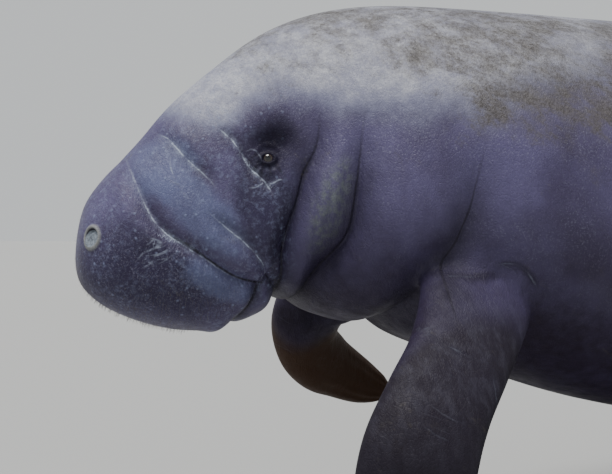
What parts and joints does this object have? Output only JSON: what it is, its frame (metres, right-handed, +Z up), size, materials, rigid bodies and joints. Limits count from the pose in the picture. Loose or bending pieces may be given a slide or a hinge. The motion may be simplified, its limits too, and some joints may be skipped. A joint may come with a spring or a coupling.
{
  "type": "manatee model",
  "caption": "Life-size still model of a swimming West Indian manatee with its head bent down, flippers lowered and paddle tail drooping, held on a flat base by two rods.",
  "frame": {"origin": "centre of the underside of the stand's base, where it meets the floor", "axes": "+Z up, the head towards -Y and the tail towards +Y, and the animal's left side towards +X"},
  "size_m": [0.7471, 2.9241, 0.9504],
  "materials": {
    "skin": "rough, finely wrinkled grey hide",
    "flipper_skin": "rough grey hide with horn nails",
    "eye": "wet dark eye",
    "stand": "satin charcoal paint"
  },
  "bodies": {
    "root": {"head": "skin", "neck": "skin", "torso": "skin", "tail_stock": "skin", "tail_fluke": "skin", "flipper_left": "flipper_skin", "flipper_right": "flipper_skin", "eye_left": "eye", "eye_right": "eye", "stand_base": "stand", "stand_rod_front": "stand", "stand_rod_rear": "stand"}
  },
  "joints": []
}
